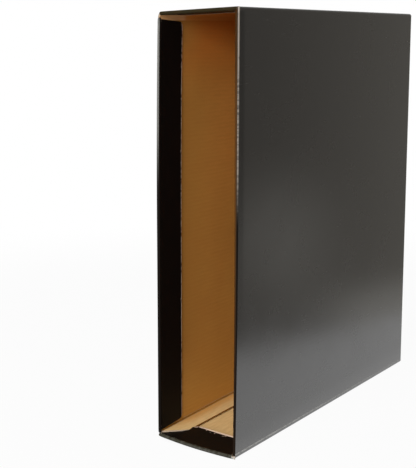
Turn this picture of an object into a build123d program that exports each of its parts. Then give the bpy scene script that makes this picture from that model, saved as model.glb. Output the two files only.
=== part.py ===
from build123d import *
import math
import os

# Outside of the closed box. The mouth faces -Y and the box stands on its bottom panel.
width = 70.0
depth = 290.0
height = 325.0

# Fluted board with a printed paper facing on its outer side
board = 1.4
facing = 0.25

# Radii of the outer side of each fold
top_left_radius = 6.5
right_radius = 3.0
tab_radius = 2.6
rear_radius = 1.8

# Hems folded in round the mouth, glued to the inner side of each panel
hem_depth = 27.5
hem_corner = 3.0
hem_slant = 2.0
left_hem_top = 7.0
left_hem_foot = 5.6
left_lip_foot = 3.2
right_hem_end = 6.0
flat_hem_right_end = 3.4
bottom_hem_end = 2.2
bottom_hem_slant = 0.5
bottom_lip_end = 1.0

# Notches where a long crease runs out at the mouth
notch_depth = 4.0
notch_side = 2.6

# Glue tab on the foot of the left wall, riding over the bottom hem
tab_width = 13.6
tab_front_gap = 1.6
tab_front_slant = 19.0
tab_rear_gap = 14.0
tab_rear_slant = 12.0
bead_width = 7.0
bead_inset = 2.2
bead_clear = 1.5

# Rear closure: rear flap with a tuck tongue, over two dust flaps
flap_gap = 0.3
crease_gap = 0.45
rear_flap_end_gap = 1.0
rear_flap_corner = 3.0
rear_crease_end_gap = 4.0
tongue_length = 14.0
tongue_lean = 14.0
tongue_crease_turn = 82.0
tongue_end_gap = 12.0
tongue_corner = 9.0
tongue_wall_gap = 0.6
dust_length = 45.0
dust_left_gap = 9.0
dust_right_gap = 3.0
dust_slant = 4.0
dust_corner = 6.0
dust_crease_inset = 2.0

# Faces and lines that the sizes above lead to
left = -width / 2
right = width / 2
mouth = -depth / 2
rear = depth / 2
panel_front = mouth + board
dust_rear = rear - board - flap_gap
dust_pivot_y = dust_rear - rear_radius
tab_under = 2 * board
tab_top = 3 * board
tab_centre_z = tab_under + tab_radius
tongue_face = left + board + tongue_wall_gap
fold_reach = rear_radius * math.sqrt(0.5)
flap_pivot = (right - rear_radius + fold_reach, rear - rear_radius + fold_reach)
tongue_pivot = (tongue_face + rear_radius - fold_reach, rear - rear_radius + fold_reach)

# Section planes: (x, z), (x, y) and (y, z)
xz_plane = Plane(origin=(0, 0, 0), x_dir=(1, 0, 0), z_dir=(0, -1, 0))
xy_plane = Plane.XY
yz_plane = Plane.YZ

os.makedirs("parts", exist_ok=True)
nodes = {}


def add(name, solid):
    """Keeps one named piece."""
    nodes[name] = solid


def slab(low, high):
    """A block between its lowest and highest corners."""
    size = [b - a for a, b in zip(low, high)]
    middle = [(a + b) / 2 for a, b in zip(low, high)]
    return Pos(*middle) * Box(*size)


def prism(plane, points, start, end, corners=(), radius=0.0):
    """An outline drawn on a plane, with some corners rounded, run from start to end along its normal."""
    outline = make_face(Polyline(*points, close=True))
    if corners:
        picked = [v for v in outline.vertices() if any((Vector(*c) - Vector(v)).length < 1e-4 for c in corners)]
        outline = fillet(picked, radius)
    moved = plane.offset(start) * outline
    return extrude(moved, amount=end - start, dir=plane.z_dir)


def bend(plane, centre, outer, inner, first, turn, start, end):
    """Part of a ring about a centre on a plane, run from start to end along its normal."""
    outer_arc = CenterArc(centre, outer, first, turn)
    inner_arc = CenterArc(centre, inner, first, turn)
    sides = [Line(outer_arc @ 0, inner_arc @ 0), Line(outer_arc @ 1, inner_arc @ 1)]
    section = make_face([outer_arc, inner_arc, *sides])
    moved = plane.offset(start) * section
    return extrude(moved, amount=end - start, dir=plane.z_dir)


def crease(name, plane, centre, outer, first, turn, start, end):
    """A fold of the board: its kraft board and the printed facing round the outside."""
    split = outer - facing
    add(name, bend(plane, centre, split, outer - board, first, turn, start, end))
    add(name + "_facing", bend(plane, centre, outer, split, first, turn, start, end))


def panel(name, low, high, axis, outward):
    """A flat panel: its kraft board and the printed facing on the side that points outward."""
    board_low, board_high = list(low), list(high)
    face_low, face_high = list(low), list(high)
    if outward > 0:
        board_high[axis] = face_low[axis] = high[axis] - facing
    else:
        board_low[axis] = face_high[axis] = low[axis] + facing
    add(name, slab(board_low, board_high))
    add(name + "_facing", slab(face_low, face_high))


def tube_panels():
    """The four panels round the file."""
    wall_end = rear - rear_radius
    panel(
        "left_wall",
        (left, panel_front, tab_centre_z),
        (left + board, rear, height - top_left_radius),
        0,
        -1,
    )
    panel(
        "right_wall",
        (right - board, panel_front, right_radius),
        (right, wall_end, height - right_radius),
        0,
        1,
    )
    panel(
        "top_panel",
        (left + top_left_radius, panel_front, height - board),
        (right - right_radius, dust_pivot_y, height),
        2,
        1,
    )
    panel(
        "bottom_panel",
        (left, panel_front, 0),
        (right - right_radius, dust_pivot_y, board),
        2,
        -1,
    )


def tube_creases():
    """The long folds. The section plane looks along -Y, so its normal runs towards the mouth."""
    front = -(mouth + notch_depth)
    back = -dust_pivot_y
    crease(
        "top_left_crease",
        xz_plane,
        (left + top_left_radius, height - top_left_radius),
        top_left_radius,
        90,
        90,
        back,
        -panel_front,
    )
    crease(
        "top_right_crease",
        xz_plane,
        (right - right_radius, height - right_radius),
        right_radius,
        0,
        90,
        back,
        front,
    )
    crease(
        "bottom_right_crease",
        xz_plane,
        (right - right_radius, right_radius),
        right_radius,
        270,
        90,
        back,
        front,
    )
    crease(
        "tab_crease",
        xz_plane,
        (left + tab_radius, tab_centre_z),
        tab_radius,
        180,
        90,
        -(rear - tab_rear_gap),
        -(mouth + tab_front_gap),
    )


def glue_tab():
    """The tab on the foot of the left wall, its ends cut at a slant, and the glue under it."""
    hinge_x = left + tab_radius
    free_x = left + board + tab_width
    front = mouth + tab_front_gap
    back = rear - tab_rear_gap
    outline = [
        (hinge_x, front),
        (free_x, front + tab_front_slant),
        (free_x, back - tab_rear_slant),
        (hinge_x, back),
    ]
    add("glue_tab", prism(xy_plane, outline, tab_under, tab_top))
    bead_x = hinge_x + bead_inset
    add(
        "glue_bead",
        slab(
            (bead_x, mouth + hem_depth + bead_clear, board),
            (bead_x + bead_width, back - tab_rear_slant, tab_under),
        ),
    )


def hem(name, plane, low_end, high_end, low_slant, high_slant, start, end):
    """A hem: straight along its fold, with slanted ends and rounded corners at its free edge."""
    free_y = mouth + hem_depth
    corners = [(low_end + low_slant, free_y), (high_end - high_slant, free_y)]
    points = [(low_end, panel_front), *corners, (high_end, panel_front)]
    if plane is yz_plane:
        points = [(y, z) for z, y in points]
        corners = [(y, z) for z, y in corners]
    add(name, prism(plane, points, start, end, corners, hem_corner))


def hems():
    """The four hems, black side inward."""
    hem(
        "left_hem",
        yz_plane,
        left_hem_foot,
        height - left_hem_top,
        hem_slant,
        hem_slant,
        left + board,
        left + 2 * board,
    )
    hem(
        "right_hem",
        yz_plane,
        right_hem_end,
        height - right_hem_end,
        hem_slant,
        hem_slant,
        right - 2 * board,
        right - board,
    )
    hem(
        "top_hem",
        xy_plane,
        left + top_left_radius,
        right - flat_hem_right_end,
        hem_slant,
        hem_slant,
        height - 2 * board,
        height - board,
    )
    hem(
        "bottom_hem",
        xy_plane,
        left + bottom_hem_end,
        right - flat_hem_right_end,
        bottom_hem_slant,
        hem_slant,
        board,
        2 * board,
    )


def lip(name, plane, centre, first, start, end):
    """The rounded lip where a hem turns back, two boards thick."""
    arc = CenterArc(centre, board, first, 180)
    section = make_face([arc, Line(arc @ 1, arc @ 0)])
    moved = plane.offset(start) * section
    add(name, extrude(moved, amount=end - start, dir=plane.z_dir))


def mouth_folds():
    """The four lips round the mouth, each ending short of the corners."""
    lip("left_mouth_fold", xy_plane, (left + board, panel_front), 180, left_lip_foot, height - left_hem_top)
    lip("right_mouth_fold", xy_plane, (right - board, panel_front), 180, notch_side, height - notch_side)
    lip(
        "top_mouth_fold",
        yz_plane,
        (panel_front, height - board),
        90,
        left + top_left_radius,
        right - right_radius,
    )
    lip("bottom_mouth_fold", yz_plane, (panel_front, board), 90, left + bottom_lip_end, right - right_radius)


def rear_flap():
    """The flap that closes the back, folded on the rear edge of the right wall, and its tuck tongue."""
    centre_y = rear - rear_radius
    crease(
        "rear_crease",
        xy_plane,
        (right - rear_radius, centre_y),
        rear_radius,
        0,
        90,
        rear_crease_end_gap,
        height - rear_crease_end_gap,
    )
    tongue_centre_x = tongue_face + rear_radius
    flap_right = right - rear_radius - crease_gap
    low_z, high_z = rear_flap_end_gap, height - rear_flap_end_gap
    low_shoulder, high_shoulder = tongue_end_gap - crease_gap, height - tongue_end_gap + crease_gap
    corners = [(tongue_face, low_z), (tongue_face, high_z)]
    outline = [
        (flap_right, low_z),
        (tongue_face, low_z),
        (tongue_face, low_shoulder),
        (tongue_centre_x, low_shoulder),
        (tongue_centre_x, high_shoulder),
        (tongue_face, high_shoulder),
        (tongue_face, high_z),
        (flap_right, high_z),
    ]
    split = rear - facing
    add("rear_flap", prism(xz_plane, outline, -split, -(rear - board), corners, rear_flap_corner))
    add("rear_flap_facing", prism(xz_plane, outline, -rear, -split, corners, rear_flap_corner))
    crease(
        "tongue_crease",
        xy_plane,
        (tongue_centre_x, centre_y),
        rear_radius,
        90,
        tongue_crease_turn,
        tongue_end_gap,
        height - tongue_end_gap,
    )
    tongue(tongue_centre_x, centre_y)


def tongue(centre_x, centre_y):
    """The tongue: its plane leans away from the left wall, so that it swings clear of it."""
    angle = math.radians(180 + tongue_lean)
    out = Vector(math.cos(angle), math.sin(angle), 0)
    along = Vector(-math.sin(angle), math.cos(angle), 0)
    root = Vector(centre_x, centre_y, 0) + out * rear_radius
    plane = Plane(origin=root, x_dir=along, z_dir=out)
    low_z, high_z = tongue_end_gap, height - tongue_end_gap
    up = plane.y_dir.Z
    tip_low, tip_high = (tongue_length, up * low_z), (tongue_length, up * high_z)
    outline = [(0, up * low_z), tip_low, tip_high, (0, up * high_z)]
    corners = [tip_low, tip_high]
    add("tuck_tongue", prism(plane, outline, -board, -facing, corners, tongue_corner))
    add("tuck_tongue_facing", prism(plane, outline, -facing, 0, corners, tongue_corner))


def dust_flap(name, edge_z, down):
    """A dust flap and its crease, on the rear edge of the top or the bottom panel."""
    centre_z = edge_z + down * rear_radius
    low_x, high_x = left + dust_left_gap, right - dust_right_gap
    first = 0 if down < 0 else 270
    crease(
        name + "_crease",
        yz_plane,
        (dust_pivot_y, centre_z),
        rear_radius,
        first,
        90,
        low_x + dust_crease_inset,
        high_x - dust_crease_inset,
    )
    root_z = centre_z + down * crease_gap
    tip_z = centre_z + down * dust_length
    corners = [(low_x + dust_slant, tip_z), (high_x - dust_slant, tip_z)]
    outline = [(low_x, root_z), *corners, (high_x, root_z)]
    split = dust_rear - facing
    add(name + "_flap", prism(xz_plane, outline, -split, -(dust_rear - board), corners, dust_corner))
    add(name + "_flap_facing", prism(xz_plane, outline, -dust_rear, -split, corners, dust_corner))


tube_panels()
tube_creases()
glue_tab()
hems()
mouth_folds()
rear_flap()
dust_flap("upper_dust", height, -1)
dust_flap("lower_dust", 0, 1)

for name, solid in nodes.items():
    export_step(solid, f"parts/{name}.step")

print("rear flap turns about x, y", flap_pivot)
print("tuck tongue turns about x, y", tongue_pivot)
print("dust flaps turn about y, low z, high z", dust_pivot_y, rear_radius, height - rear_radius)
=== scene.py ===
"""Looks of a black cardboard slipcase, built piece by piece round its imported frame.

Every length is in metres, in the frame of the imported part: the mouth faces -Y and the box stands on z = 0.
"""

import math

import bpy
import numpy as np
from mathutils import Matrix, Vector


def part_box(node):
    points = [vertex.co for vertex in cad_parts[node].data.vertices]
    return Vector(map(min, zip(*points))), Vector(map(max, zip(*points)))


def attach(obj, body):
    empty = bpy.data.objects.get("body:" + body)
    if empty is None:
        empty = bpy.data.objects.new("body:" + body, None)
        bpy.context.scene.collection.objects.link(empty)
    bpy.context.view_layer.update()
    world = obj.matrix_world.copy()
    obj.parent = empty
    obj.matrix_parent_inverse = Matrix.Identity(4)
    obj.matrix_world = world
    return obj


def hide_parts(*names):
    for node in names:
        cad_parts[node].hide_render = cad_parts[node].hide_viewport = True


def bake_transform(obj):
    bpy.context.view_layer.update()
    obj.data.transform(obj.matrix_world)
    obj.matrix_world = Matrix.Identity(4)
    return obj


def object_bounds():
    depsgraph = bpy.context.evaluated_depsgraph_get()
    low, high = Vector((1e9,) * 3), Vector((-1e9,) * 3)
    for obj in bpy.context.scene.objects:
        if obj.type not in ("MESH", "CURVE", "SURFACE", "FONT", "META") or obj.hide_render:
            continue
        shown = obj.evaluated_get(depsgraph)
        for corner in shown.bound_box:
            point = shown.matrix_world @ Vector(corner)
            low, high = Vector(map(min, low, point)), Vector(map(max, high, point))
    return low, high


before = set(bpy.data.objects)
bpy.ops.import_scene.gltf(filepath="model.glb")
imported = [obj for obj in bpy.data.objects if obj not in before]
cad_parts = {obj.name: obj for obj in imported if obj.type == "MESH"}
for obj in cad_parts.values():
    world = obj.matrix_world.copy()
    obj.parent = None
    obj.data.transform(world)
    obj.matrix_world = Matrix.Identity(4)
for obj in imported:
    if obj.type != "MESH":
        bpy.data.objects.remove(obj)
cad_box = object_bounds()

MM = 0.001
X_AXIS, Y_AXIS, Z_AXIS = np.eye(3)

# Faces of the closed box
left, mouth = cad_box[0][:2]
right, rear, height = cad_box[1]

# From the frame: how deep the printed facing and the board reach, and where the folds of the mouth start
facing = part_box("left_wall")[0].x - left
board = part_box("left_wall")[1].x - left
fold_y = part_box("left_wall")[0].y

# Inside the board: its liners, the wave between them, and how far short of a piece's edge the wave ends
liner = 0.18 * MM
medium = 0.14 * MM
flute_pitch = 3.2 * MM
flute_inset = 0.1 * MM

# How finely the sheets are drawn
grid_step = 9 * MM
flute_steps = 6
flute_rows = 7
tube_steps = 14
crease_steps = 12
lip_steps = 18
corner_steps = 7
front_rows = np.array([0, 0.4, 0.8, 1.3, 1.9, 2.6, 3.6]) * MM
front_rows_gap = 3 * MM
narrow_crossing = np.linspace(0, 1, 5)
lip_end_rows = np.array([0, 0.4, 0.9, 1.6, 2.8]) * MM
sharp_angle = math.radians(38)

# How the real box departs from a perfect one. It gives more and more towards the mouth: the left of its top
# sinks, the left wall's top leans in, and the right wall's foot is drawn in
give_power = 1.5
droop = 2.84 * MM
lean = 2.2 * MM
tuck = 1.2 * MM

# The left of its bottom curls up, by one height at the mouth and by another from a depth on
lift_near = 3.6 * MM
lift_deep = 5.2 * MM
lift_depth = 110 * MM
lift_power = 2.3

# The right wall's edge lies back at the mouth, more so at its top
recess_top = 2.7 * MM
recess_foot = 1.4 * MM
recess_reach = 30 * MM

# The faint waves of the side walls: their depth, their rates and phases, and how late they fade up and down
ripple = 0.1 * MM
ripple_rate_y = 31
ripple_rate_z = 23
ripple_phase_y = 1.7
ripple_phase_z = 0.6
ripple_fade = 8

# How square the long folds are: a round one, the soft one at the mouth, from where it turns round further in,
# and the crisp ones
round_fold = 2
soft_fold = 3.7
soft_fold_reach = 22 * MM
crisp_fold = 2.9

# Ends of the lips at the corners of the mouth, and how thick the right lip is at its top and its foot
corner_gap = 0.25 * MM
foot_gap = 0.06 * MM
top_lip_start = left + 2.0 * MM
left_lip_end = height - 4.4 * MM
fold_top = 1.2
fold_foot = 0.72

# The camera that took the photograph
camera_place = (431.7 * MM, -756.5 * MM, 304.0 * MM)
camera_yaw = math.radians(34.496)
camera_pitch = math.radians(-9.277)
camera_roll = math.radians(0.03)
camera_lens = 81.287
camera_shift = -0.0513

# Material slots of every mesh: its face, and its cut edges, which the flutes look like
FACE = 0
CUT = 1


def smooth(t):
    """Runs from 0 to 1 with level ends."""
    t = np.clip(t, 0, 1)
    return t * t * (3 - 2 * t)


def spaced(low, high, step):
    """Even values from low to high, about a step apart."""
    return np.linspace(low, high, max(2, round((high - low) / step) + 1))


def warp(points):
    """Moves exact points to where the soft cardboard really is. Nothing moves at the rear."""
    x, y, z = points.T
    depth = y - mouth
    give = np.clip((rear - y) / (rear - mouth), 0, 1) ** give_power
    to_left = np.clip((right - x) / (right - left), 0, 1)
    up = z / height
    from_middle = 2 * up - 1
    top = np.clip(from_middle, 0, 1) ** 2
    foot = np.clip(-from_middle, 0, 1) ** 2
    waves_y = np.sin(y * ripple_rate_y + ripple_phase_y)
    waves_z = np.sin(z * ripple_rate_z + ripple_phase_z)
    waves = 0.5 + 0.5 * waves_y * waves_z
    new_x = x + give * (to_left * lean * top - (1 - to_left) * tuck * foot)
    new_x -= ripple * give * x / right * waves * (1 - from_middle**ripple_fade)
    recess = recess_foot + (recess_top - recess_foot) * up
    new_y = y + recess * np.exp(-depth / recess_reach) * (1 - to_left) ** 2
    rise = lift_near + (lift_deep - lift_near) * smooth(depth / lift_depth)
    new_z = z - droop * give * to_left * up
    new_z += rise * to_left**lift_power * smooth((rear - y) / lift_depth) * (1 - up)
    return np.stack([new_x, new_y, new_z], 1)


def quads(index):
    """The four-cornered faces of a grid of point numbers."""
    return np.stack([index[:-1, :-1], index[1:, :-1], index[1:, 1:], index[:-1, 1:]], -1).reshape(-1, 4)


class Solid:
    """Closed thin sheets, gathered into one mesh."""

    def __init__(self):
        self.points = []
        self.faces = []
        self.slots = []
        self.count = 0

    def layer(self, place, a, b, top, bottom, skin=FACE):
        """Adds the closed sheet between two depths under a surface. Its edges are cut."""
        outer = place(a, b, top)
        inner = place(a, b, bottom)
        rows, columns = outer.shape[:2]
        size = rows * columns
        index = np.arange(size).reshape(rows, columns)
        loop = np.concatenate([index[:-1, 0], index[-1, :-1], index[:0:-1, -1], index[0, :0:-1]])
        after = np.roll(loop, -1)
        front = quads(index)
        behind = quads(index + size)[:, ::-1]
        edge = np.stack([loop, loop + size, after + size, after], -1)
        faces = np.concatenate([front, behind, edge])
        across = np.cross(outer[1, 0] - outer[0, 0], outer[0, 1] - outer[0, 0])
        if np.dot(across, outer[0, 0] - inner[0, 0]) < 0:
            faces = faces[:, ::-1]
        self.points.append(np.concatenate([outer.reshape(-1, 3), inner.reshape(-1, 3)]))
        self.faces.append(faces + self.count)
        self.slots += [skin] * (len(front) + len(behind)) + [CUT] * len(edge)
        self.count += 2 * size


def plane(origin, first, second, out):
    """A flat surface: two distances along it, and a depth below its outer face."""
    origin = np.array(origin, float)

    def place(a, b, depth):
        a, b, depth = np.broadcast_arrays(a, b, depth)
        return origin + a[..., None] * first + b[..., None] * second - depth[..., None] * np.asarray(out)

    return place


def ring(centre, first, second, along, radius, sharpness=None, swell=None):
    """A round fold: angle from the first axis to the second, distance along it, and depth below its face.

    Its sharpness makes it squarer along its run, from 2 for a circle. Its swell makes it thicker along its
    run, and its outermost line stays where it is.
    """
    centre = np.array(centre, float)

    def place(angle, run, depth):
        angle, run, depth = np.broadcast_arrays(angle, run, depth)
        reach = radius - depth
        out = 0.0 * run
        if sharpness is not None:
            power = sharpness(run)
            square = (np.abs(np.cos(angle)) ** power + np.abs(np.sin(angle)) ** power) ** (-1 / power)
            reach = radius * square - depth
        if swell is not None:
            reach = reach + radius * (swell(run) - 1)
            out = radius * (1 - swell(run))
        turned = np.cos(angle)[..., None] * first + np.sin(angle)[..., None] * second
        return centre + reach[..., None] * turned + run[..., None] * along + out[..., None] * first

    return place


def shares(length):
    """Shares of a crossing, a grid step apart."""
    return spaced(0, 1, grid_step / length)


def grid(rows, low, high, crossing):
    """Rows crossed from low to high at the given shares. Both ends may change from row to row."""
    low = np.broadcast_to(low, rows.shape)
    high = np.broadcast_to(high, rows.shape)
    a = np.repeat(rows[:, None], len(crossing), 1)
    b = low[:, None] + (high - low)[:, None] * crossing[None, :]
    return a, b


def turned_grid(first_angle, turn, steps, runs):
    """Angles from the first one on, each with every run."""
    return np.meshgrid(first_angle + np.linspace(0, turn, steps + 1), runs, indexing="ij")


def dense_front(low, high):
    """Values from low to high, close together near low, where the mouth's lips start."""
    close = low + front_rows
    return np.concatenate([close, spaced(close[-1] + front_rows_gap, high, grid_step)])


def rounded(distance, radius):
    """How far a rounded corner draws an edge back, at a distance from the corner's side."""
    inside = np.clip(radius - distance, 0, radius)
    return radius - np.sqrt(radius**2 - inside**2)


def corner_rows(corner, steps):
    """Distances from a side, closer together where its rounded corner begins."""
    return corner * (1 - np.cos(np.linspace(0, math.pi / 2, steps + 1)))


def rows_to_edge(start, edge, step, corner):
    """Values from start to an edge, closer together at its rounded corners."""
    turn = np.linspace(0, math.pi / 2, corner_steps + 1)[1:]
    return np.concatenate([spaced(start, edge - corner, step), edge - corner + corner * np.sin(turn)])


def flute_end(edge, low, high, corner):
    """Where a piece's flutes end: just short of its edge, which has a rounded corner at low and at high."""

    def end(across):
        side = np.minimum(across - low, high - across)
        return edge - rounded(side, corner) - flute_inset

    return end


def liners(solid, place, a, b):
    """The two kraft liners of a fluted sheet."""
    solid.layer(place, a, b, facing, facing + liner)
    solid.layer(place, a, b, board - liner, board)


def flutes(solid, place, start, end, low, high):
    """The wave between the liners, side by side from low to high. Where it ends may change across it."""
    count = max(4, round((high - low) / flute_pitch * flute_steps))
    across = np.linspace(low, high, count + 1)
    end = end(across) if callable(end) else end
    b, a = grid(across, start, end, np.linspace(0, 1, flute_rows))
    middle = (facing + board) / 2
    swing = (board - facing - 2 * liner - medium) / 2
    wave = middle + swing * np.cos(2 * math.pi * b / flute_pitch)
    solid.layer(place, a, b, wave - medium / 2, wave + medium / 2, CUT)


def crushed(solid, place, a, b):
    """The flutes inside a fold, pressed flat."""
    under = 1.6 * liner
    solid.layer(place, a, b, facing + under, board - under, CUT)


def make(name, solid, materials, body, replaced=None, bend=None):
    """Turns gathered sheets into a named piece that moves with its body. A piece given a bend is left fixed
    in place.
    """
    points = warp(np.concatenate(solid.points))
    faces = np.concatenate(solid.faces)
    mesh = bpy.data.meshes.new(name)
    mesh.from_pydata(points.tolist(), [], faces.tolist())
    for material in materials:
        mesh.materials.append(material)
    mesh.polygons.foreach_set("material_index", np.array(solid.slots, np.int32))
    mesh.shade_smooth()
    mesh.set_sharp_from_angle(angle=sharp_angle)
    mesh.validate()
    piece = bpy.data.objects.new(name, mesh)
    bpy.context.scene.collection.objects.link(piece)
    if bend is None:
        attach(piece, body)
    else:
        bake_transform(piece)
    if replaced:
        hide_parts(replaced)


class Paint:
    """Short calls that build one material's nodes. Each takes numbers or the outputs of other calls."""

    def __init__(self, name):
        self.material = bpy.data.materials.new(name)
        self.material.use_nodes = True
        self.tree = self.material.node_tree
        self.shader = self.tree.nodes["Principled BSDF"]
        self.place = self.node("ShaderNodeTexCoord").outputs["Object"]
        split = self.node("ShaderNodeSeparateXYZ")
        self.join(self.place, split.inputs[0])
        self.axis = {letter: split.outputs[letter] for letter in "XYZ"}

    def node(self, kind, **settings):
        made = self.tree.nodes.new(kind)
        for key, value in settings.items():
            setattr(made, key, value)
        return made

    def join(self, source, target):
        """Links an output to a socket, or sets a number on it."""
        if hasattr(source, "is_output"):
            self.tree.links.new(source, target)
        else:
            target.default_value = source

    def maths(self, operation, *values, clamp=False):
        made = self.node("ShaderNodeMath", operation=operation, use_clamp=clamp)
        for value, socket in zip(values, made.inputs):
            self.join(value, socket)
        return made.outputs[0]

    def times(self, first, *others):
        """All the values multiplied."""
        for other in others:
            first = self.maths("MULTIPLY", first, other)
        return first

    def most(self, first, second):
        """The larger of two values."""
        return self.maths("MAXIMUM", first, second)

    def scaled(self, value, factor, added, clamp=False):
        """A value times a factor, and something added."""
        return self.maths("MULTIPLY_ADD", value, factor, added, clamp=clamp)

    def blur(self, value, low, high):
        """0 below low, 1 above high, smooth between."""
        made = self.node("ShaderNodeMapRange", interpolation_type="SMOOTHSTEP")
        self.join(value, made.inputs["Value"])
        made.inputs["From Min"].default_value = low
        made.inputs["From Max"].default_value = high
        return made.outputs[0]

    def ramp(self, axis, start, end):
        """0 up to one place on an axis and 1 from another on, in either direction."""
        return self.blur(self.axis[axis], start, end)

    def band(self, axis, at, half_width, soft):
        """1 in a band round a place on an axis, 0 away from it."""
        return self.maths("SUBTRACT", 1.0, self.blur(self.away(axis, at), half_width, half_width + soft))

    def away(self, axis, at):
        """The distance from a place on an axis."""
        return self.maths("ABSOLUTE", self.maths("SUBTRACT", self.axis[axis], at))

    def noise(self, scale, detail=3.0, stretch=(1, 1, 1), rough=0.5):
        """Noise whose features are about 1 / scale long, squeezed by the stretch."""
        moved = self.node("ShaderNodeMapping")
        self.join(self.place, moved.inputs["Vector"])
        moved.inputs["Scale"].default_value = stretch
        made = self.node("ShaderNodeTexNoise")
        self.join(moved.outputs[0], made.inputs["Vector"])
        made.inputs["Scale"].default_value = scale
        made.inputs["Detail"].default_value = detail
        made.inputs["Roughness"].default_value = rough
        return made.outputs["Fac"]

    def mix(self, factor, first, second):
        """From the first colour to the second."""
        made = self.node("ShaderNodeMix", data_type="RGBA")
        self.join(factor, made.inputs["Factor"])
        self.join(first, made.inputs["A"])
        self.join(second, made.inputs["B"])
        return made.outputs["Result"]

    def wave(self, axis):
        """The flutes that print through the sheet, from 0 to 1."""
        turns = self.times(self.axis[axis], 2 * math.pi / flute_pitch)
        return self.scaled(self.maths("COSINE", turns), 0.5, 0.5)

    def bump(self, raised, distance, strength=1.0, under=None):
        """A surface raised by up to a distance, over another bump if one is given."""
        made = self.node("ShaderNodeBump")
        made.inputs["Strength"].default_value = strength
        made.inputs["Distance"].default_value = distance
        self.join(raised, made.inputs["Height"])
        if under is not None:
            self.join(under, made.inputs["Normal"])
        return made.outputs[0]

    def set(self, **sockets):
        """Fills the shader's sockets, named with _ for a space."""
        for key, value in sockets.items():
            self.join(value, self.shader.inputs[key.replace("_", " ")])


def rgb(red, green, blue):
    return (red, green, blue, 1.0)


# Inks: the printed black, where it is scuffed or rubbed brown, and copies of it painted for light and shade:
# darker inside the mouth and round the side lips as painted shade, paler round the top and bottom lips as
# painted sheen
INK = rgb(0.0095, 0.009, 0.0082)
INK_WORN = rgb(0.03, 0.028, 0.025)
RUBBED = rgb(0.075, 0.03, 0.006)
INK_SHADED_INSIDE = rgb(0.004, 0.0028, 0.0022)
INK_SHADED_SIDE_LIPS = rgb(0.0045, 0.0028, 0.0017)
INK_SHEEN_FLAT_LIPS = rgb(0.017, 0.0145, 0.0055)

# Bare paper: under the ink, at the hems, and where the sheet is white inside
PAPER_CORE = rgb(0.6, 0.52, 0.44)
HEM_CORE = rgb(0.62, 0.46, 0.34)
WHITE_CORE = rgb(0.62, 0.61, 0.57)
WHITE_SHADE = rgb(0.42, 0.41, 0.38)
RAW_EDGE = rgb(0.5, 0.41, 0.31)
RAW_SHADE = rgb(0.32, 0.24, 0.16)

# The kraft liner's middle, dark and light tones, as shaded and lit copies of one paper: darker and redder as
# painted shade where it stands upright and under the top, paler where it lies flat in the light, and darkest
# as painted shade in the tab's crease
KRAFT_SHADED = (rgb(0.49, 0.22, 0.044), rgb(0.38, 0.15, 0.031), rgb(0.53, 0.262, 0.053))
KRAFT_LIT = (rgb(0.54, 0.343, 0.134), rgb(0.425, 0.252, 0.087), rgb(0.615, 0.413, 0.185))
KRAFT_CREASE_SHADE = (rgb(0.22, 0.085, 0.005), rgb(0.13, 0.045, 0.002), rgb(0.34, 0.15, 0.02))

# Its tints, all painted light and shade: shade near the mouth, redder shade in the corner under the top,
# light deep inside, redder bounce light under the top, shade on the tab beside its crease, and pale light
# under the top along its hem
KRAFT_MOUTH_SHADE = rgb(0.4, 0.18, 0.034)
KRAFT_CORNER_SHADE = rgb(0.54, 0.168, 0.024)
KRAFT_LIT_DEEP_INSIDE = rgb(0.62, 0.27, 0.055)
KRAFT_BOUNCE_UNDER_TOP = rgb(0.64, 0.23, 0.042)
KRAFT_SHADE_BESIDE_WALL = rgb(0.54, 0.235, 0.04)
KRAFT_LIGHT_UNDER_TOP_HEM = rgb(0.8, 0.54, 0.28)

# How strongly the varnish mirrors: on the panels, at the near foot, and thinner on the hems and lips
satin = 1.85
near_foot_shine = 2.05
inside_shine = 1.18
lip_shine = 1.15
foot_lip_shine = 1.28

# How rough it is: on the panels, and on the hems and lips
satin_rough = 0.2
folded_rough = 0.4

# How wide each hem's free edge has worn, and how much of it is still inked
edge_wear = {
    "left_hem": (0.42 * MM, 0.36),
    "right_hem": (0.35 * MM, 0.42),
    "top_hem": (3.5 * MM, 0.3),
    "bottom_hem": (1.3 * MM, 0.12),
}


def print_paint(name, across, wear=None, shine=satin, base_rough=satin_rough, ink=INK, bare=PAPER_CORE,
                rub=None, uneven_shine=None):
    """Satin black varnish over print: paper grain, flutes that show through, scuffs and wear.

    Wear is where the bare paper shows, and at the near foot and the left and bottom lips it is a painted
    highlight. Rub is where the ink has turned brown.
    """
    grain_height = 0.012 * MM
    rib_height = 0.004 * MM
    scuffed_grey = 0.12
    scuffed_rough = 0.05
    patchy_rough = 0.12
    paint = Paint(name)
    grain = paint.noise(scale=1400)
    patches = paint.noise(scale=26, detail=4)
    streaks = paint.noise(scale=45, detail=5, stretch=(1, 1, 9), rough=0.6)
    scuffs = paint.blur(streaks, 0.62, 0.78)
    colour = paint.mix(paint.times(scuffs, scuffed_grey), ink, INK_WORN)
    if rub:
        colour = paint.mix(rub(paint), colour, RUBBED)
    if wear:
        colour = paint.mix(wear(paint), colour, bare)
    rough = paint.scaled(patches, patchy_rough, base_rough)
    rough = paint.scaled(scuffs, scuffed_rough, rough)
    ribs = paint.bump(paint.wave(across), rib_height)
    surface = paint.bump(grain, grain_height, strength=0.5, under=ribs)
    paint.set(Base_Color=colour, Roughness=rough, Normal=surface, IOR=shine)
    if uneven_shine:
        paint.set(IOR=uneven_shine(paint))
    return paint.material


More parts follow.
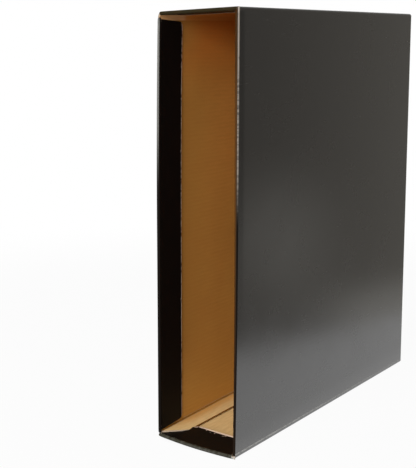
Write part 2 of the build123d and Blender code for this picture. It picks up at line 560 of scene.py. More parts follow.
def kraft_paint(name, across, tones, fibre=0.4, tints=()):
    """Uncoated kraft liner: fibres along the flutes, flecks, and faint ribs. Its foot is painted paler, as
    painted light from the floor.

    Each tint is where the liner has another colour, and that colour. Most tints are painted light or shade.
    """
    middle, dark, light = tones
    fibre_height = 0.04 * MM
    rib_height = 0.03 * MM
    rib_shade = 0.1
    paint = Paint(name)
    fibres = paint.noise(scale=700, detail=4, stretch=(1, 0.12, 1), rough=0.65)
    clouds = paint.noise(scale=22, detail=4)
    flecks = paint.blur(paint.noise(scale=1100, detail=2, stretch=(1, 0.5, 1)), 0.66, 0.74)
    clouded = paint.times(paint.blur(clouds, 0.3, 0.7), 0.6)
    # Painted light: the light tone comes in random clouds, and near the foot for light bounced up from the
    # floor
    base = paint.mix(paint.most(clouded, paint.ramp("Z", 80 * MM, 10 * MM)), middle, light)
    for share, colour in tints:
        base = paint.mix(share(paint), base, colour)
    base = paint.mix(paint.times(paint.blur(fibres, 0.35, 0.7), fibre), base, dark)
    base = paint.mix(paint.times(flecks, fibre), base, dark)
    base = paint.mix(paint.times(paint.wave(across), rib_shade), base, dark)
    ribs = paint.bump(paint.wave(across), rib_height)
    surface = paint.bump(fibres, fibre_height, strength=0.7, under=ribs)
    paint.set(Base_Color=base, Roughness=0.85, Specular_IOR_Level=0.08, Normal=surface)
    return paint.material


def raw_paint(name, pale=RAW_EDGE, shade=RAW_SHADE, shaded_from=None):
    """Cut edges of paper, paler and fuzzier than the liner's face. From one depth on they may be painted
    brown, as painted shade.
    """
    paint = Paint(name)
    fuzz = paint.noise(scale=1500)
    colour = paint.mix(paint.blur(fuzz, 0.3, 0.7), pale, shade)
    if shaded_from is not None:
        colour = paint.mix(paint.ramp("Y", shaded_from, shaded_from + 1 * MM), colour, KRAFT_CREASE_SHADE[0])
    surface = paint.bump(fuzz, 0.05 * MM)
    paint.set(Base_Color=colour, Roughness=0.95, Specular_IOR_Level=0.1, Normal=surface)
    return paint.material


def glue_paint():
    """Set hot glue: amber, dull, a little lumpy."""
    paint = Paint("set_glue")
    lumps = paint.noise(scale=160)
    amber = paint.mix(lumps, rgb(0.6, 0.42, 0.2), rgb(0.75, 0.6, 0.36))
    paint.set(Base_Color=amber, Roughness=0.45, Normal=paint.bump(lumps, 0.3 * MM))
    return paint.material


def near_panel_shine(paint):
    """The varnish mirrors less along the mouth, and more where the panel curves out to its foot."""
    mouth_loss = 0.26
    foot_gain = 0.17
    at_mouth = paint.band("Y", fold_y + 4 * MM, 3 * MM, 4 * MM)
    less = paint.times(at_mouth, paint.ramp("Z", 60 * MM, 200 * MM))
    more = paint.ramp("Z", 20 * MM, 2 * MM)
    return paint.scaled(less, -mouth_loss, paint.scaled(more, foot_gain, satin))


def near_foot_painted_highlight(paint):
    """Painted highlight: a pale line along the fold at the foot of the large panel, broken into chips,
    stronger towards the mouth.
    """
    chips = paint.blur(paint.noise(scale=300, detail=4, rough=0.7), 0.25, 0.6)
    line = paint.band("Z", 3.4 * MM, 0.4 * MM, 0.45 * MM)
    nearer = paint.ramp("Y", rear - 25 * MM, mouth + 25 * MM)
    strength = paint.scaled(nearer, 0.31, 0.14)
    return paint.times(line, chips, strength)


def fold_wear(first, first_at, second, second_at, radius):
    """The outermost line of a fold has chipped to bare paper. It runs along the corner of two faces."""
    strength = 0.5

    def wear(paint):
        off_corner = paint.most(paint.away(first, first_at), paint.away(second, second_at))
        line = paint.blur(off_corner, 0.65 * radius, 0.35 * radius)
        chips = paint.blur(paint.noise(scale=240, detail=4, rough=0.75), 0.54, 0.66)
        return paint.times(line, chips, strength)

    return wear


def free_edge_wear(at, width, inked):
    """A hem's cut edge, where the ink has chipped to bare paper, with some deeper nicks."""

    def wear(paint):
        chips = paint.noise(scale=380, detail=4, rough=0.7)
        line = paint.times(paint.band("Y", at, width, 0.2 * MM), paint.blur(chips, inked, inked + 0.18))
        nicks = paint.times(paint.band("Y", at, 2.5 * width, 0.4 * MM), paint.blur(chips, 0.6, 0.64))
        return paint.most(line, nicks)

    return wear


def redder_bounce_under_top(paint):
    """Painted bounce light: all of the liner under the top is painted redder."""
    return 0.75


def pale_light_under_top_hem(paint):
    """Painted light: the underside of the top is painted pale in a line along its hem, and more widely at the
    left.
    """
    corner_strength = 0.5
    at_left = paint.ramp("X", left + 8 * MM, left + 3 * MM)
    corner = paint.times(paint.ramp("Y", mouth + 45 * MM, mouth + 10 * MM), at_left, corner_strength)
    line = paint.ramp("Y", mouth + 37 * MM, mouth + 29.5 * MM)
    line_strength = paint.scaled(at_left, -0.3, 0.9)
    return paint.most(corner, paint.times(line, line_strength))


def torn_front(paint):
    """The near corner of the foot has torn to its white core."""
    return paint.ramp("Y", fold_y + 4 * MM, fold_y + 2 * MM)


def painted_shade_beside_wall(paint):
    """Painted shade: the tab is painted browner beside its crease, except at its tip."""
    strength = 0.75
    beside = paint.ramp("X", left + 12 * MM, left + 3 * MM)
    return paint.times(beside, strength, paint.ramp("Y", mouth + 5 * MM, mouth + 45 * MM))


def painted_shade_near_mouth(paint):
    """Painted shade: the liner is painted darker near the mouth, and most of all under the top."""
    near = paint.ramp("Y", mouth + 70 * MM, mouth + 20 * MM)
    above_foot = paint.ramp("Z", 30 * MM, 80 * MM)
    level = paint.times(above_foot, paint.ramp("Z", height - 40 * MM, height - 75 * MM))
    high = paint.ramp("Z", height - 39 * MM, height - 19 * MM)
    return paint.times(near, paint.most(level, high))


def painted_corner_shade(paint):
    """Painted shade: the liner is painted redder up in the corner under the top."""
    high = paint.ramp("Z", height - 75 * MM, height - 10 * MM)
    return paint.times(high, paint.ramp("Y", mouth, mouth + 60 * MM))


def painted_light_deep_inside(paint):
    """Painted light: the liner is painted paler deep inside, below the corner."""
    above = paint.ramp("Z", height - 185 * MM, height - 85 * MM)
    below = paint.ramp("Z", height - 40 * MM, height - 63 * MM)
    return paint.times(above, below, paint.ramp("Y", mouth + 40 * MM, mouth + 100 * MM))


def right_lip_wear(paint):
    """The lip nearest the camera has worn to bare paper along its outer shoulder.

    High up the wear is whole, and down to the middle it comes in ticks. The top corner and the foot are bare.
    """
    shoulder_strength = 0.45
    corner_strength = 0.6
    foot_strength = 0.75
    shoulder = paint.band("X", right - 0.34 * MM, 0.26 * MM, 0.14 * MM)
    whole = paint.ramp("Z", height - 63 * MM, height - 40 * MM)
    uneven = paint.blur(paint.noise(scale=620, detail=1, stretch=(0.1, 0.1, 1)), 0.38, 0.56)
    uneven = paint.scaled(uneven, 0.55, 0.45)
    ticks = paint.times(uneven, paint.ramp("Z", height - 155 * MM, height - 105 * MM))
    chips = paint.blur(paint.noise(scale=330, detail=4, rough=0.7), 0.28, 0.42)
    worn = paint.times(shoulder, paint.most(whole, ticks), chips, shoulder_strength)
    corner = paint.times(shoulder, paint.ramp("Z", height - 8 * MM, height - 3 * MM), corner_strength)
    foot = paint.times(paint.ramp("Z", 3.2 * MM, 2.0 * MM), foot_strength)
    return paint.most(worn, paint.most(corner, foot))


def right_lip_rub(paint):
    """The inner shoulder of the right lip is rubbed brown, more so higher up, and less again at its top."""
    inner = paint.ramp("X", right - 0.7 * MM, right - 1.3 * MM)
    higher = paint.scaled(paint.ramp("Z", 20 * MM, height - 105 * MM), 0.93, 0.07)
    top = paint.scaled(paint.ramp("Z", height - 75 * MM, height - 25 * MM), -0.5, 1.0)
    return paint.times(inner, higher, top)


def top_lip_rub(paint):
    """The top lip is rubbed a little brown all along."""
    strength = 0.15
    return paint.times(paint.blur(paint.noise(scale=90, detail=4), 0.2, 0.8), strength)


def left_lip_painted_highlight(paint):
    """Painted highlight: a grey line along the front of the left lip, down to its middle."""
    strength = 0.25
    line = paint.ramp("Y", fold_y - 0.95 * MM, fold_y - 1.25 * MM)
    return paint.times(line, paint.ramp("Z", height - 135 * MM, height - 75 * MM), strength)


def bottom_lip_highlight_and_wear(paint):
    """Painted highlight: a pale line along the bottom lip's foot, broken into ticks and stronger to the
    right. Its right end is worn bare.
    """
    ticks = paint.blur(paint.noise(scale=420, detail=2, stretch=(1, 0.2, 0.2)), 0.4, 0.7)
    ticks = paint.scaled(ticks, 0.05, 0.005)
    foot_strength = paint.scaled(paint.axis["X"], 1.6, 0.035, clamp=True)
    end_strength = 0.7
    highlight_line = paint.scaled(paint.band("Y", mouth, 0.6 * MM, 0.4 * MM), foot_strength, ticks)
    bare = paint.times(paint.ramp("X", right - 4.6 * MM, right - 2.6 * MM), end_strength)
    return paint.most(highlight_line, bare)


raw = raw_paint("raw_cut_edge")
white_core = raw_paint("pale_core", WHITE_CORE, WHITE_SHADE)
glue = glue_paint()

print_z = print_paint("satin_print_upright", "Z")
print_x = print_paint("satin_print_flat", "X")
# The pale line at the near panel's foot is a painted highlight
print_near = print_paint("satin_print_near", "Z", near_foot_painted_highlight, bare=WHITE_CORE,
                         uneven_shine=near_panel_shine)
print_near_foot = print_paint("satin_print_near_foot", "X", near_foot_painted_highlight, near_foot_shine, bare=WHITE_CORE)
plain_print = {"Z": print_z, "X": print_x}

# Painted light and shade on the kraft: the tints of the walls and of the top's underside
wall_painted_light_and_shade = [(painted_light_deep_inside, KRAFT_LIT_DEEP_INSIDE), (painted_corner_shade, KRAFT_CORNER_SHADE), (painted_shade_near_mouth, KRAFT_MOUTH_SHADE)]
top_painted_light = [(redder_bounce_under_top, KRAFT_BOUNCE_UNDER_TOP), (pale_light_under_top_hem, KRAFT_LIGHT_UNDER_TOP_HEM)]
kraft_z = kraft_paint("kraft_liner_upright", "Z", KRAFT_SHADED, fibre=0.18, tints=wall_painted_light_and_shade)
kraft_x = kraft_paint("kraft_liner_flat", "X", KRAFT_LIT)
kraft_top = kraft_paint("kraft_liner_top", "X", KRAFT_SHADED, fibre=0.18, tints=top_painted_light)
# The tab's crease takes the darkest copy of the kraft, as painted shade
kraft_crease_shade = kraft_paint("kraft_liner_crease_shade", "X", KRAFT_CREASE_SHADE, fibre=0.6)
# The tab is painted browner beside the wall, as painted shade
kraft_tab = kraft_paint("kraft_liner_tab", "X", KRAFT_LIT, tints=[(painted_shade_beside_wall, KRAFT_SHADE_BESIDE_WALL)])
kraft_foot = kraft_paint("kraft_liner_foot", "X", KRAFT_LIT, tints=[(torn_front, WHITE_CORE)])
plain_kraft = {"Z": kraft_z, "X": kraft_x}


def board_and_print(node, place, a, b, across, body="sleeve", bend=None, wave=None, kraft=None, ink=None,
                    cut=raw):
    """The fluted board of one CAD node and the printed facing over it.

    Wave is where the flutes start and end, and from where to where they lie side by side. Without it they are
    crushed.
    """
    card = Solid()
    liners(card, place, a, b)
    if wave is None:
        crushed(card, place, a, b)
    else:
        flutes(card, place, *wave)
    make(node + "_layers", card, [kraft or plain_kraft[across], cut], body, node, bend)
    skin = Solid()
    skin.layer(place, a, b, 0, facing)
    make(node + "_print", skin, [ink or plain_print[across], cut], body, node + "_facing", bend)


def tube_panel(node, origin, across, out, **finish):
    """A panel of the tube, with its flutes along Y."""
    low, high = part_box(node)
    start, end = (low.z, high.z) if across == "Z" else (low.x, high.x)
    place = plane(origin, Y_AXIS, Z_AXIS if across == "Z" else X_AXIS, out)
    a, b = grid(dense_front(low.y, high.y), start, end, shares(end - start))
    board_and_print(node, place, a, b, across, wave=(low.y, high.y, start, end), **finish)


def tube_panels():
    """The four panels round the file."""
    tube_panel("left_wall", (left, 0, 0), "Z", -X_AXIS)
    tube_panel("right_wall", (right, 0, 0), "Z", X_AXIS, ink=print_near)
    tube_panel("top_panel", (0, 0, height), "X", Z_AXIS, kraft=kraft_top)
    tube_panel("bottom_panel", (0, 0, 0), "X", -Z_AXIS)


def long_crease(node, centre_x, centre_z, radius, first_turn, sharpness=None, ends=None, **finish):
    """A quarter turn of the tube, from its first angle on."""
    low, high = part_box(node)
    place = ring((centre_x, 0, centre_z), X_AXIS, Z_AXIS, Y_AXIS, radius, sharpness)
    runs = dense_front(*(ends or (low.y, high.y)))
    a, b = turned_grid(math.radians(first_turn), math.pi / 2, tube_steps, runs)
    board_and_print(node, place, a, b, "X", **finish)


def long_creases():
    """The four long folds of the tube. The soft one is square at the mouth and turns round further in."""

    def soft(y):
        return round_fold + (soft_fold - round_fold) * np.exp(-(y - mouth) / soft_fold_reach)

    def crisp(y):
        return np.full_like(y, crisp_fold)

    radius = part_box("top_left_crease")[1].x - left
    ink = print_paint("satin_print_top_left", "X", fold_wear("X", left, "Z", height, radius))
    long_crease("top_left_crease", left + radius, height - radius, radius, 90, soft, kraft=kraft_top, ink=ink)
    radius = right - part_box("top_right_crease")[0].x
    ends = (fold_y + corner_gap, rear - radius / 2)
    centre_x = right - radius
    long_crease("top_right_crease", centre_x, height - radius, radius, 0, crisp, ends, kraft=kraft_top)
    torn = {"kraft": kraft_foot, "ink": print_near_foot, "cut": white_core}
    long_crease("bottom_right_crease", centre_x, radius, radius, 270, crisp, ends, **torn)
    low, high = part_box("tab_crease")
    radius = high.x - low.x
    long_crease("tab_crease", low.x + radius, high.z, radius, 180, kraft=kraft_crease_shade)


def glue_tab():
    """The tab inside the foot of the left wall, its ends cut at a slant. It slopes down from the wall."""
    low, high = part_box("glue_tab")
    front_gap = 1.6 * MM
    front_slant = 19 * MM
    rear_slant = 12 * MM
    slope = 0.7 * MM
    across = spaced(low.x, high.x, 2 * MM)
    share = (across - low.x) / (high.x - low.x)
    front = low.y + front_gap + (front_slant - front_gap) * share
    a, b = grid(across, front, high.y - rear_slant * share, shares(high.y - low.y))
    level = plane((0, 0, high.z), X_AXIS, Y_AXIS, Z_AXIS)

    def place(x, y, below):
        return level(x, y, below + slope * (x - low.x) / (high.x - low.x))

    card = Solid()
    card.layer(place, a, b, 0, liner)
    card.layer(place, a, b, board - liner, board)
    card.layer(place, a, b, 2 * liner, board - 2 * liner, CUT)
    # The tab's cut edge is painted brown behind its slanted front, as painted shade
    cut = raw_paint("tab_cut_edge", HEM_CORE, RAW_EDGE, low.y + front_slant)
    make("glue_tab_layers", card, [kraft_tab, cut], "sleeve", "glue_tab")


def glue_bead():
    """The run of glue under the tab, a little wider and narrower along its way."""
    low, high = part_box("glue_bead")
    fullness = 0.8
    unevenness = 0.18
    waves = 210
    runs = spaced(low.y, high.y, 3 * MM)
    middle = (low.x + high.x) / 2
    half = (high.x - low.x) / 2 * (fullness + unevenness * np.sin(runs * waves))
    a, b = grid(runs, middle - half, middle + half, narrow_crossing)
    bead = Solid()
    bead.layer(plane((0, 0, high.z), Y_AXIS, X_AXIS, Z_AXIS), a, b, 0, high.z - low.z)
    make("glue_bead_run", bead, [glue, glue], "sleeve", "glue_bead")


def hem(node, panel_place, low_end, high_end, low_slant, high_slant, spring, across, swell=None,
        held_to=None):
    """A hem: printed on the side that is seen, raw along its free edge, which springs off its panel.

    Beside its fold it is as thick as its lip, and it stays down as far across as something holds it.
    """
    free_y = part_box(node)[1].y
    corner = 3 * MM
    held_fade = 8 * MM
    swell_reach = 5 * MM
    depth = free_y - fold_y
    rows = rows_to_edge(fold_y, free_y, step=4 * MM, corner=corner)
    share = (rows - fold_y) / depth
    cut = rounded(free_y - rows, corner)
    low_side = low_end + low_slant * share + cut
    high_side = high_end - high_slant * share - cut
    a, b = grid(rows, low_side, high_side, shares(high_end - low_end))

    def place(y, run, below):
        away = np.clip((y - fold_y) / depth, 0, 1)
        rise = spring * away**2
        if held_to is not None:
            rise = rise * smooth((run - held_to) / held_fade)
        if swell is not None:
            rise = rise + 2 * board * (swell(run) - 1) * np.exp(-(y - fold_y) / swell_reach)
        return panel_place(y, run, below - rise)

    card = Solid()
    liners(card, place, a, b)
    low, high = low_end + low_slant, high_end - high_slant
    flutes(card, place, fold_y, flute_end(free_y, low, high, corner), low, high)
    make(node + "_layers", card, [plain_kraft[across], raw], "sleeve")
    skin = Solid()
    skin.layer(place, a, b, 0, facing)
    wear = free_edge_wear(free_y, *edge_wear[node])
    # The hems take a darker copy of the black ink, as painted shade inside the mouth
    ink = print_paint(node + "_ink", across, wear, inside_shine, folded_rough, INK_SHADED_INSIDE, HEM_CORE)
    make(node + "_print", skin, [ink, raw], "sleeve", node)


def right_swell(z):
    """How thick the right lip is along its run, as a share of the board's double thickness."""
    return fold_foot + (fold_top - fold_foot) * smooth(z / height)


def hems():
    """The four hems, black side inward. The left one reaches higher, and the tab holds the bottom one."""
    slant = 2 * MM
    left_rise = 1.5 * MM
    bottom_left_slant = 0.5 * MM
    held_short = 2.6 * MM
    side_spring = 0.3 * MM
    top_spring = 0.2 * MM
    bottom_spring = 2.8 * MM
    low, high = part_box("left_hem")
    place = plane((high.x, 0, 0), Y_AXIS, Z_AXIS, X_AXIS)
    hem("left_hem", place, low.z, high.z + left_rise, slant, slant, side_spring, "Z")
    low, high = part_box("right_hem")
    place = plane((low.x, 0, 0), Y_AXIS, Z_AXIS, -X_AXIS)
    hem("right_hem", place, low.z, high.z, slant, slant, side_spring, "Z", right_swell)
    low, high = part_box("top_hem")
    place = plane((0, 0, low.z), Y_AXIS, X_AXIS, -Z_AXIS)
    hem("top_hem", place, low.x, high.x, slant, slant, top_spring, "X")
    low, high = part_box("bottom_hem")
    place = plane((0, 0, high.z), Y_AXIS, X_AXIS, Z_AXIS)
    held_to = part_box("glue_tab")[1].x - held_short
    hem("bottom_hem", place, low.x, high.x, bottom_left_slant, slant, bottom_spring, "X", held_to=held_to)


def lip(node, centre, outward, along, low, high, low_turn, high_turn, across, wear=None, swell=None, rub=None,
        bare=PAPER_CORE, pulp=raw, shine=lip_shine):
    """The rounded lip where a hem turns back: print round a crushed core.

    A turn of 1 cuts that end at 45 degrees, so that it meets the next lip. 0 cuts it square and pinches it.
    """
    end_reach = 6 * MM
    pinch_reach = 0.9 * MM
    pinch_depth = 0.2 * board
    core_depth = board - 0.06 * MM
    place = ring(centre, outward, -Y_AXIS, along, board, swell=swell)
    angles = np.linspace(0, math.pi, lip_steps + 1)
    middle = spaced(low + end_reach, high - end_reach, grid_step)
    runs = np.concatenate([low + lip_end_rows, middle, high - lip_end_rows[::-1]])
    span = (runs - low) / (high - low)
    reach = board * np.cos(angles)
    a, b = grid(angles, low - low_turn * reach, high + high_turn * reach, span)
    fade = (high - low) / pinch_reach
    pinch = (1 - low_turn) * np.exp(-span * fade) + (1 - high_turn) * np.exp(-(1 - span) * fade)
    pinch = pinch_depth * pinch[None, :]
    core = Solid()
    core.layer(place, a, b, facing + pinch, core_depth)
    make(node + "_core", core, [pulp, pulp], "sleeve")
    skin = Solid()
    skin.layer(place, a, b, pinch, facing + pinch)
    # Copies of the black ink: darker on the side lips as painted shade, paler on the top and bottom lips as
    # painted sheen
    base = INK_SHADED_SIDE_LIPS if across == "Z" else INK_SHEEN_FLAT_LIPS
    ink = print_paint(node + "_ink", across, wear, shine, folded_rough, base, bare, rub)
    make(node + "_print", skin, [ink, pulp], "sleeve", node)


def lips():
    """The four lips round the mouth. They meet at the right corners, and stop short at the left ones."""
    place = (left + board, fold_y, 0)
    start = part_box("left_mouth_fold")[0].z
    # The left lip's grey line is a painted highlight
    lip("left_mouth_fold", place, -X_AXIS, Z_AXIS, start, left_lip_end, 0, 0, "Z", left_lip_painted_highlight,
        bare=WHITE_CORE)
    place = (right - board, fold_y, 0)
    start, end = board + foot_gap, height - board - corner_gap
    lip("right_mouth_fold", place, X_AXIS, Z_AXIS, start, end, 1, 1, "Z", right_lip_wear, right_swell,
        right_lip_rub, pulp=white_core)
    place = (0, fold_y, height - board)
    end = right - board - corner_gap
    lip("top_mouth_fold", place, Z_AXIS, X_AXIS, top_lip_start, end, 0, 1, "X", rub=top_lip_rub)
    place = (0, fold_y, board)
    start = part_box("bottom_mouth_fold")[0].x
    end = right - board - foot_gap
    # The bottom lip's pale line along its foot is a painted highlight
    lip("bottom_mouth_fold", place, -Z_AXIS, X_AXIS, start, end, 0, 1, "X", bottom_lip_highlight_and_wear, bare=WHITE_CORE,
        pulp=white_core, shine=foot_lip_shine)


def rear_crease():
    """The crease that the rear flap swings on."""
    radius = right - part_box("rear_crease_facing")[0].x
    inset = 1.4 * MM
    place = ring((right - radius, rear - radius, 0), X_AXIS, Y_AXIS, Z_AXIS, radius)
    a, b = turned_grid(0, math.pi / 2, crease_steps, spaced(inset, height - inset, grid_step))
    start = (right, rear - radius, height / 2)
    end = (right - radius, rear, height / 2)
    ink = print_paint("satin_print_rear_fold", "Z", fold_wear("X", right, "Y", rear, radius))
    board_and_print("rear_crease", place, a, b, "Z", bend=("sleeve", "rear_closure", start, end), ink=ink)


def rear_flap():
    """The flap over the back, with a step above and below the tongue's crease."""
    low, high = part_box("rear_flap")
    crease_low, crease_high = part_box("tongue_crease")
    flap_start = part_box("rear_crease_facing")[0].x
    hinge_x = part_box("tongue_crease_facing")[1].x
    gap = 0.45 * MM
    step_edge = 0.01 * MM
    corner = 3 * MM
    low_step, high_step = crease_low.z - gap, crease_high.z + gap
    at_corner = corner_rows(corner, steps=5)
    rows = np.concatenate([
        low.z + at_corner,
        [low_step - step_edge],
        spaced(low_step, high_step, grid_step),
        [high_step + step_edge],
        high.z - at_corner[::-1],
    ])
    beside = (rows >= low_step) & (rows <= high_step)
    start_x = np.where(beside, hinge_x, low.x + rounded(np.minimum(rows - low.z, high.z - rows), corner))
    b, a = grid(rows, start_x, flap_start, shares(flap_start - low.x))
    place = plane((0, rear, 0), X_AXIS, Z_AXIS, Y_AXIS)
    wave = (hinge_x, flap_start, low_step, high_step)
    board_and_print("rear_flap", place, a, b, "Z", "rear_closure", wave=wave)


def tongue():
    """The tuck tongue and its crease. The tongue leans away from the left wall, and its corners are round."""
    low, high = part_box("tongue_crease")
    facing_low, facing_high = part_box("tongue_crease_facing")
    hinge_x = facing_high.x
    radius = hinge_x - facing_low.x
    turn = math.radians(82)
    lean_in = math.radians(14)
    length = 14 * MM
    corner = 9 * MM
    centre = np.array([hinge_x, rear - radius, 0])
    place = ring(centre, X_AXIS, Y_AXIS, Z_AXIS, radius)
    a, b = turned_grid(math.pi / 2, turn, crease_steps, spaced(low.z, high.z, grid_step))
    start = (hinge_x, rear, height / 2)
    end = (hinge_x - radius, rear - radius, height / 2)
    ink = print_paint("satin_print_tongue_fold", "Z", fold_wear("X", hinge_x - radius, "Y", rear, radius))
    board_and_print("tongue_crease", place, a, b, "Z", bend=("rear_closure", "tongue", start, end), ink=ink)

    out = np.array([-math.cos(lean_in), -math.sin(lean_in), 0])
    along = np.array([math.sin(lean_in), -math.cos(lean_in), 0])
    at_corner = corner_rows(corner, steps=8)
    past_corner = corner + 3 * MM
    middle = spaced(low.z + past_corner, high.z - past_corner, grid_step)
    rows = np.concatenate([low.z + at_corner, middle, high.z - at_corner[::-1]])
    reach = length - rounded(np.minimum(rows - low.z, high.z - rows), corner)
    b, a = grid(rows, 0, reach, narrow_crossing)
    place = plane(centre + out * radius, along, Z_AXIS, out)
    wave = (0.0, flute_end(length, low.z, high.z, corner), low.z, high.z)
    board_and_print("tuck_tongue", place, a, b, "Z", "tongue", wave=wave)


def dust_flap(body, down):
    """A dust flap and its crease, on the rear edge of the top or the bottom panel.

    Down is which way its crease lies from that edge: -1 under the top, and 1 over the bottom.
    """
    crease = body + "_crease"
    low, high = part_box(crease)
    facing_low, facing_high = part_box(crease + "_facing")
    pivot_y = facing_low.y
    flap_y = facing_high.y
    radius = flap_y - pivot_y
    edge = height if down < 0 else 0.0
    centre_z = edge + down * radius
    place = ring((0, pivot_y, centre_z), Y_AXIS, -down * Z_AXIS, X_AXIS, radius)
    a, b = turned_grid(0, math.pi / 2, crease_steps, spaced(low.x, high.x, grid_step))
    start = (0, pivot_y, edge)
    end = (0, flap_y, centre_z)
    ink = print_paint("satin_print_" + crease, "X", fold_wear("Z", edge, "Y", flap_y, radius))
    board_and_print(crease, place, a, b, "X", bend=("sleeve", body, start, end), ink=ink)

    flap = body + "_flap"
    low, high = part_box(flap)
    slant = 4 * MM
    corner = 6 * MM
    root = low.z if down > 0 else high.z
    length = high.z - low.z
    rows = rows_to_edge(0, length, step=5 * MM, corner=corner)
    cut = rounded(length - rows, corner) + slant * rows / length
    a, b = grid(rows, low.x + cut, high.x - cut, shares(high.x - low.x))
    place = plane((0, flap_y, root), down * Z_AXIS, X_AXIS, Y_AXIS)
    low_side, high_side = low.x + slant, high.x - slant
    wave = (0.0, flute_end(length, low_side, high_side, corner), low_side, high_side)
    board_and_print(flap, place, a, b, "X", body, wave=wave)


tube_panels()
long_creases()
glue_tab()
glue_bead()
hems()
lips()
rear_crease()
rear_flap()
tongue()
dust_flap("upper_dust", -1)
dust_flap("lower_dust", 1)

# Stage: a plain white floor and surroundings, and a grey card on the right, just outside the picture
floor_size = 12.0
floor_grey = 0.5
shadow_share = 0.05
shadow_reach = 0.45

# The card: its feet and height, its greys from near to far, and the lighter strip and patch on it
card_near_foot = (0.2315, -0.1)
card_far_foot = (0.0365, 0.55)
card_height = 0.8
card_near = rgb(0.2, 0.185, 0.165)
card_far = rgb(0.4, 0.38, 0.34)
card_fade = (0.0, 0.485)
card_strip = rgb(0.64, 0.62, 0.57)
strip_top = (0.05, 0.02)
strip_start = (0.17, 0.24)
card_patch = rgb(0.52, 0.5, 0.46)
patch_place = (0.165, 0.128, 0.105)
patch_edge = (0.1, 0.01)

# The world: how high its white turns to grey, that grey, and the even light that it gives
zenith_fade = (0.22, 0.5)
zenith_grey = 0.3
world_light = 0.36


def seen_rays(tree):
    """1 for camera, glossy and transmission rays."""
    path = tree.nodes.new("ShaderNodeLightPath")
    first = tree.nodes.new("ShaderNodeMath")
    first.operation = "MAXIMUM"
    tree.links.new(path.outputs["Is Camera Ray"], first.inputs[0])
    tree.links.new(path.outputs["Is Glossy Ray"], first.inputs[1])
    second = tree.nodes.new("ShaderNodeMath")
    second.operation = "MAXIMUM"
    tree.links.new(first.outputs[0], second.inputs[0])
    tree.links.new(path.outputs["Is Transmission Ray"], second.inputs[1])
    return second.outputs[0]


def stage_plane(name, corners, paint, surface):
    """A four-cornered plane of the stage. Its surface is a shader of its paint."""
    paint.join(surface, paint.tree.nodes["Material Output"].inputs["Surface"])
    mesh = bpy.data.meshes.new(name)
    mesh.from_pydata(corners, [], [(0, 1, 2, 3)])
    mesh.materials.append(paint.material)
    made = bpy.data.objects.new(name, mesh)
    bpy.context.scene.collection.objects.link(made)
    return made


def make_floor():
    """White for the eye, with the part's own soft shadow near it."""
    half = floor_size / 2
    paint = Paint("studio_floor")
    paint.set(Base_Color=rgb(floor_grey, floor_grey, floor_grey), Roughness=0.9, Specular_IOR_Level=0.0)
    glow = paint.node("ShaderNodeEmission")
    away = paint.node("ShaderNodeVectorMath", operation="LENGTH")
    paint.join(paint.place, away.inputs[0])
    far = paint.blur(away.outputs["Value"], shadow_reach, 2 * shadow_reach)
    white = paint.scaled(far, shadow_share, 1 - shadow_share)
    blend = paint.node("ShaderNodeMixShader")
    paint.join(paint.times(seen_rays(paint.tree), white), blend.inputs[0])
    paint.join(paint.shader.outputs[0], blend.inputs[1])
    paint.join(glow.outputs[0], blend.inputs[2])
    corners = [(-half, -half, 0), (half, -half, 0), (half, half, 0), (-half, half, 0)]
    stage_plane("studio_floor", corners, paint, blend.outputs[0])


def make_card():
    """The grey card that the large panel mirrors. The camera doesn't see it."""
    paint = Paint("grey_card")
    glow = paint.node("ShaderNodeEmission")
    grey = paint.mix(paint.ramp("Y", *card_fade), card_near, card_far)
    strip = paint.times(paint.ramp("Z", *strip_top), paint.ramp("Y", *strip_start))
    grey = paint.mix(strip, grey, card_strip)
    away = paint.node("ShaderNodeVectorMath", operation="DISTANCE")
    paint.join(paint.place, away.inputs[0])
    away.inputs[1].default_value = patch_place
    patch = paint.blur(away.outputs["Value"], *patch_edge)
    paint.join(paint.mix(patch, grey, card_patch), glow.inputs["Color"])
    near, far, top = card_near_foot, card_far_foot, card_height
    corners = [(*near, 0), (*far, 0), (*far, top), (*near, top)]
    card = stage_plane("grey_card", corners, paint, glow.outputs[0])
    card.visible_camera = False


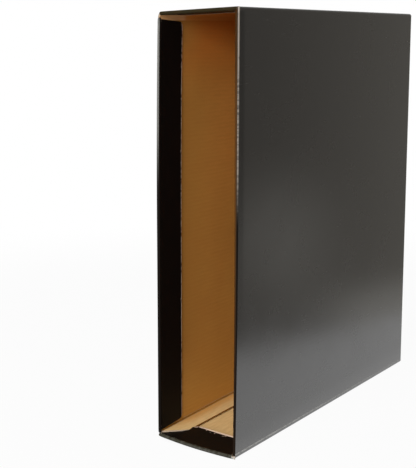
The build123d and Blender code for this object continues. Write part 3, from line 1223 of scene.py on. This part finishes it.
def make_world():
    """White round the horizon and grey overhead, with a weak even light."""
    world = bpy.data.worlds.new("studio_world")
    bpy.context.scene.world = world
    world.use_nodes = True
    tree = world.node_tree
    tree.nodes.clear()
    output = tree.nodes.new("ShaderNodeOutputWorld")
    place = tree.nodes.new("ShaderNodeTexCoord")
    split = tree.nodes.new("ShaderNodeSeparateXYZ")
    tree.links.new(place.outputs["Generated"], split.inputs[0])
    high = tree.nodes.new("ShaderNodeMapRange")
    high.interpolation_type = "SMOOTHSTEP"
    high.inputs["From Min"].default_value, high.inputs["From Max"].default_value = zenith_fade
    tree.links.new(split.outputs["Z"], high.inputs["Value"])
    seen = tree.nodes.new("ShaderNodeMix")
    seen.data_type = "RGBA"
    seen.inputs["A"].default_value = rgb(1, 1, 1)
    seen.inputs["B"].default_value = rgb(zenith_grey, zenith_grey, zenith_grey)
    tree.links.new(high.outputs[0], seen.inputs["Factor"])
    shown = tree.nodes.new("ShaderNodeBackground")
    tree.links.new(seen.outputs["Result"], shown.inputs["Color"])
    light = tree.nodes.new("ShaderNodeBackground")
    light.inputs["Color"].default_value = rgb(1, 1, 1)
    light.inputs["Strength"].default_value = world_light
    blend = tree.nodes.new("ShaderNodeMixShader")
    tree.links.new(seen_rays(tree), blend.inputs[0])
    tree.links.new(light.outputs[0], blend.inputs[1])
    tree.links.new(shown.outputs[0], blend.inputs[2])
    tree.links.new(blend.outputs[0], output.inputs["Surface"])


def lamp(name, turn, rise, distance, size, power):
    """A square soft lamp: degrees to the left of straight out of the mouth, and degrees up."""
    turn = math.radians(turn)
    rise = math.radians(rise)
    target = Vector((0, mouth, 0.4 * height))
    back = Vector((-math.sin(turn) * math.cos(rise), -math.cos(turn) * math.cos(rise), math.sin(rise)))
    light = bpy.data.lights.new(name, "AREA")
    light.shape = "SQUARE"
    light.size = size
    light.energy = power
    made = bpy.data.objects.new(name, light)
    made.location = target + distance * back
    made.rotation_euler = (-back).to_track_quat("-Z", "Y").to_euler()
    made.visible_camera = False
    bpy.context.scene.collection.objects.link(made)


def make_camera():
    """The camera at the photograph's place, with its lens."""
    camera = bpy.data.cameras.new("photo_camera")
    camera.sensor_width = 36.0
    camera.lens = camera_lens
    camera.shift_y = camera_shift
    camera.clip_start = 0.01
    camera.clip_end = 100.0
    made = bpy.data.objects.new("photo_camera", camera)
    made.location = camera_place
    turn = Matrix.Rotation(camera_yaw, 3, "Z")
    turn = turn @ Matrix.Rotation(math.pi / 2 + camera_pitch, 3, "X")
    turn = turn @ Matrix.Rotation(camera_roll, 3, "Z")
    made.rotation_euler = turn.to_euler()
    bpy.context.scene.collection.objects.link(made)
    bpy.context.scene.camera = made


make_floor()
make_card()
make_world()
lamp("key_softbox", turn=-25, rise=15, distance=1.9, size=0.55, power=21.0)
lamp("top_softbox", turn=-6, rise=56, distance=1.8, size=0.7, power=22.5)
make_camera()
bpy.context.scene.view_settings.view_transform = "Standard"
